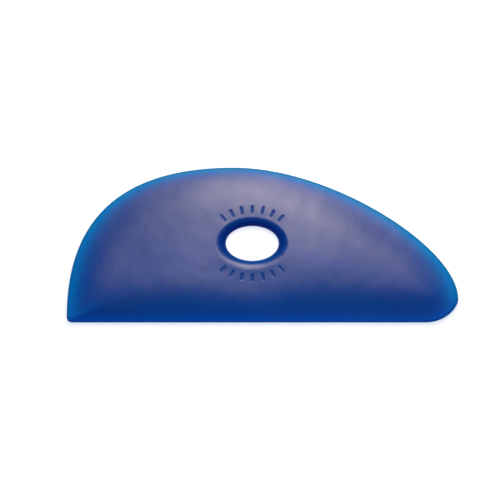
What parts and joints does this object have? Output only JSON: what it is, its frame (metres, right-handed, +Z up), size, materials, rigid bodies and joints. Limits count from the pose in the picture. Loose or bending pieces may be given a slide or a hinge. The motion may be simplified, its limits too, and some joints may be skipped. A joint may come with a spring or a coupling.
{
  "type": "pottery rib",
  "caption": "Flexible half-moon pottery rib with a straight edge, a long curved edge, a blunt nose and an oval finger hole, for shaping and smoothing clay.",
  "frame": {"origin": "on the plane of the lower face, at the middle of the length and of the width", "axes": "+X from the heel end to the nose, +Y from the straight edge to the curved edge, +Z up, out of the upper face"},
  "size_m": [0.1524, 0.0604, 0.007],
  "materials": {
    "polyurethane": "satin"
  },
  "bodies": {
    "root": {"rib_blade": "polyurethane"}
  },
  "joints": []
}
